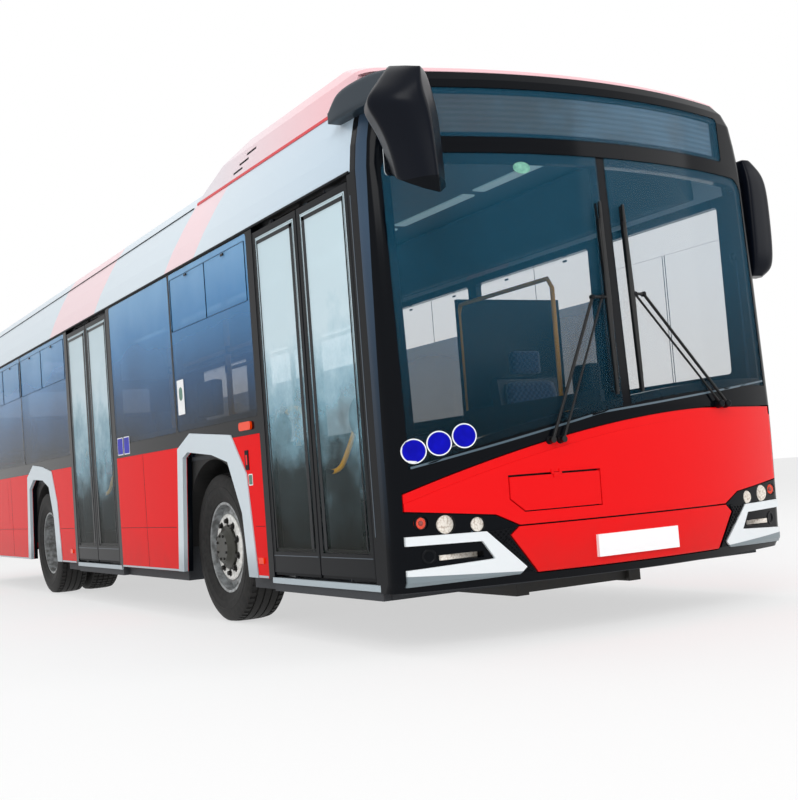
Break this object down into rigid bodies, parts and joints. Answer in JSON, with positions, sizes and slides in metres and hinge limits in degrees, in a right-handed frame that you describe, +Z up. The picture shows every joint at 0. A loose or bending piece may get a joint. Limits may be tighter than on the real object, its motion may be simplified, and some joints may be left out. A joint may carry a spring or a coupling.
{
  "type": "low-floor city bus",
  "caption": "Low-floor city bus with two double-leaf doors on its right side, twin rear tyres, steered front wheels, a rear engine lid and a roof cowl.",
  "frame": {"origin": "ground level under the middle of the bus, mirrors included", "axes": "+Z up, -Y towards the nose, +X towards the driver's side; the doors are at -X"},
  "size_m": [2.9993, 10.8777, 3.0199],
  "materials": {
    "body_red": "gloss paint",
    "gloss_black": "gloss black paint and frit",
    "band_silver": "silver white paint",
    "trim_silver": "satin silver",
    "tinted_glass": "grey tinted safety glass",
    "chassis_black": "satin black",
    "engine_iron": "rough",
    "floor_grey": "matt vinyl",
    "cab_grey": "grained",
    "rail_yellow": "gloss paint",
    "lamp_lens": "clear lens",
    "mirror_black": "satin",
    "seat_blue": "woven",
    "wiper_black": "satin",
    "rim_silver": "silver paint",
    "tyre_rubber": "rubber",
    "wheel_grip": "grained"
  },
  "bodies": {
    "bus_body": {"axles": "chassis_black", "body_glass": "tinted_glass", "chassis_frame": "chassis_black", "driver_cab": "cab_grey", "engine_block": "engine_iron", "floor": "floor_grey", "front_mask": "gloss_black", "front_panel": "body_red", "handrails": "rail_yellow", "lamps": "lamp_lens", "mirrors": "mirror_black", "rear_wall": "body_red", "roof_shell": "band_silver", "roof_unit": "body_red", "seats": "seat_blue", "side_wall_left": "gloss_black", "side_wall_right": "gloss_black", "skirt_panels": "body_red", "trims": "trim_silver", "wipers": "wiper_black"},
    "knuckle_left": {"knuckle_left": "chassis_black"},
    "wheel_front_left": {"rim_front_left": "rim_silver", "tyre_front_left": "tyre_rubber"},
    "wheel_rear_left": {"rim_rear_left": "rim_silver", "tyre_rear_left": "tyre_rubber"},
    "knuckle_right": {"knuckle_right": "chassis_black"},
    "wheel_front_right": {"rim_front_right": "rim_silver", "tyre_front_right": "tyre_rubber"},
    "wheel_rear_right": {"rim_rear_right": "rim_silver", "tyre_rear_right": "tyre_rubber"},
    "steering_wheel": {"steering_wheel": "wheel_grip"},
    "arm_front_a": {"door_arm_front_a": "chassis_black"},
    "leaf_front_a": {"door_leaf_front_a": "gloss_black", "door_glass_front_a": "tinted_glass"},
    "arm_front_b": {"door_arm_front_b": "chassis_black"},
    "leaf_front_b": {"door_leaf_front_b": "gloss_black", "door_glass_front_b": "tinted_glass"},
    "arm_middle_a": {"door_arm_middle_a": "chassis_black"},
    "leaf_middle_a": {"door_leaf_middle_a": "gloss_black", "door_glass_middle_a": "tinted_glass"},
    "arm_middle_b": {"door_arm_middle_b": "chassis_black"},
    "leaf_middle_b": {"door_leaf_middle_b": "gloss_black", "door_glass_middle_b": "tinted_glass"},
    "engine_lid": {"engine_lid": "body_red"},
    "front_flap": {"front_flap": "body_red"}
  },
  "joints": [
    {"name": "steer_left", "type": "hinge", "parent": "bus_body", "child": "knuckle_left", "pos_m": [0.93, -2.41, 0.479], "axis": [0, 0, 1], "range_deg": [-45, 45]},
    {"name": "roll_front_left", "type": "hinge", "parent": "knuckle_left", "child": "wheel_front_left", "pos_m": [1.05, -2.41, 0.479], "axis": [1, 0, 0], "continuous": true},
    {"name": "roll_rear_left", "type": "hinge", "parent": "bus_body", "child": "wheel_rear_left", "pos_m": [0.94, 2.04, 0.479], "axis": [1, 0, 0], "continuous": true},
    {"name": "steer_right", "type": "hinge", "parent": "bus_body", "child": "knuckle_right", "pos_m": [-0.93, -2.41, 0.479], "axis": [0, 0, 1], "range_deg": [-45, 45]},
    {"name": "roll_front_right", "type": "hinge", "parent": "knuckle_right", "child": "wheel_front_right", "pos_m": [-1.05, -2.41, 0.479], "axis": [1, 0, 0], "continuous": true},
    {"name": "roll_rear_right", "type": "hinge", "parent": "bus_body", "child": "wheel_rear_right", "pos_m": [-0.94, 2.04, 0.479], "axis": [1, 0, 0], "continuous": true},
    {"name": "steering_wheel_turn", "type": "hinge", "parent": "bus_body", "child": "steering_wheel", "pos_m": [0.69, -4.1, 1.08], "axis": [0, 0.4695, 0.8829], "range_deg": [-765, 765]},
    {"name": "door_front_a", "type": "hinge", "parent": "bus_body", "child": "arm_front_a", "pos_m": [-1.215, -4.668, 0.344], "axis": [0, 0, -1], "range_deg": [0, 88]},
    {"name": "leaf_front_a", "type": "hinge", "parent": "arm_front_a", "child": "leaf_front_a", "pos_m": [-1.255, -4.38077, 0.344], "axis": [0, 0, -1], "range_deg": [-176, 0]},
    {"name": "door_front_b", "type": "hinge", "parent": "bus_body", "child": "arm_front_b", "pos_m": [-1.215, -3.412, 0.344], "axis": [0, 0, 1], "range_deg": [0, 88]},
    {"name": "leaf_front_b", "type": "hinge", "parent": "arm_front_b", "child": "leaf_front_b", "pos_m": [-1.255, -3.69923, 0.344], "axis": [0, 0, 1], "range_deg": [-176, 0]},
    {"name": "door_middle_a", "type": "hinge", "parent": "bus_body", "child": "arm_middle_a", "pos_m": [-1.215, -0.448, 0.344], "axis": [0, 0, -1], "range_deg": [0, 88]},
    {"name": "leaf_middle_a", "type": "hinge", "parent": "arm_middle_a", "child": "leaf_middle_a", "pos_m": [-1.255, -0.16077, 0.344], "axis": [0, 0, -1], "range_deg": [-176, 0]},
    {"name": "door_middle_b", "type": "hinge", "parent": "bus_body", "child": "arm_middle_b", "pos_m": [-1.215, 0.808, 0.344], "axis": [0, 0, 1], "range_deg": [0, 88]},
    {"name": "leaf_middle_b", "type": "hinge", "parent": "arm_middle_b", "child": "leaf_middle_b", "pos_m": [-1.255, 0.52077, 0.344], "axis": [0, 0, 1], "range_deg": [-176, 0]},
    {"name": "engine_lid_hinge", "type": "hinge", "parent": "bus_body", "child": "engine_lid", "pos_m": [0, 5.435, 1.426], "axis": [1, 0, 0], "range_deg": [0, 75]},
    {"name": "front_flap_hinge", "type": "hinge", "parent": "bus_body", "child": "front_flap", "pos_m": [-0.4635, -5.08, 0.804], "axis": [-0.9909, 0.1343, 0], "range_deg": [0, 80]}
  ],
  "couplings": [
    {"joint": "steer_right", "follows": "steer_left", "ratio": 1},
    {"joint": "steering_wheel_turn", "follows": "steer_left", "ratio": 17},
    {"joint": "leaf_front_a", "follows": "door_front_a", "ratio": -2},
    {"joint": "leaf_front_b", "follows": "door_front_b", "ratio": -2},
    {"joint": "leaf_middle_a", "follows": "door_middle_a", "ratio": -2},
    {"joint": "leaf_middle_b", "follows": "door_middle_b", "ratio": -2}
  ]
}
